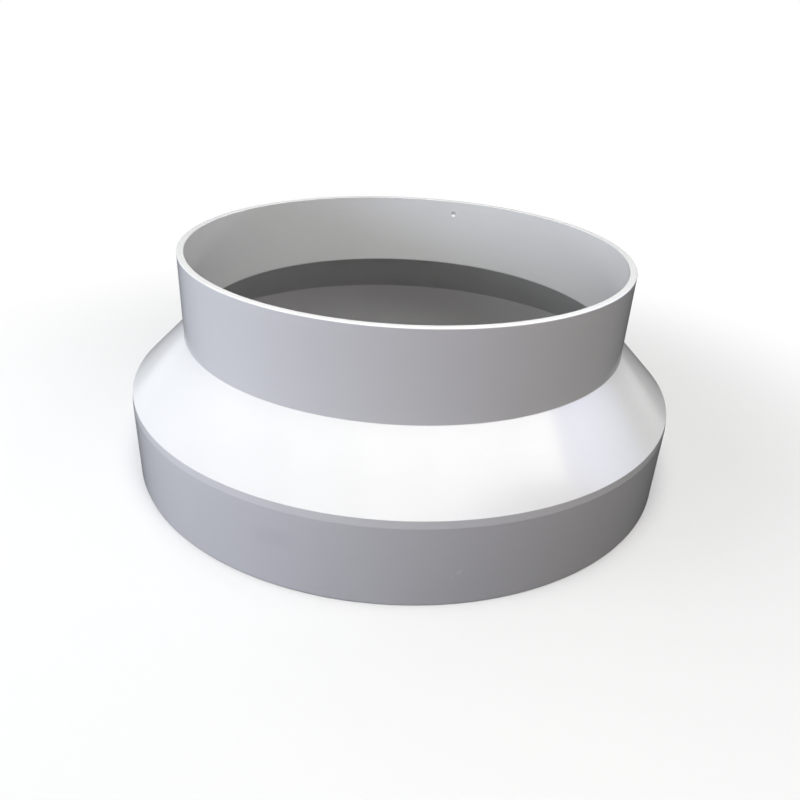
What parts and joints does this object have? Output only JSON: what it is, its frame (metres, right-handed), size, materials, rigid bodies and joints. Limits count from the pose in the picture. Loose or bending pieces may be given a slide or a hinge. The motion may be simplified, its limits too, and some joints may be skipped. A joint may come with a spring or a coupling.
{
  "type": "duct reducer",
  "caption": "Round plastic duct reducer: a plain large collar, a steep cone and a plain small collar in one thin wall, open at both ends, joining a wide duct to a narrower one.",
  "frame": {"origin": "on the duct axis, at the rim of the large socket, which the reducer stands on", "axes": "+Z along the duct axis, from the large socket to the small one; the small dent in the inner wall is at 75 degrees from +X towards +Y"},
  "size_m": [0.257, 0.257, 0.101],
  "materials": {
    "grey_plastic": "very light grey rigid plastic with a smooth satin skin, whiter where the rims are cut"
  },
  "bodies": {
    "root": {"reducer": "grey_plastic"}
  },
  "joints": []
}
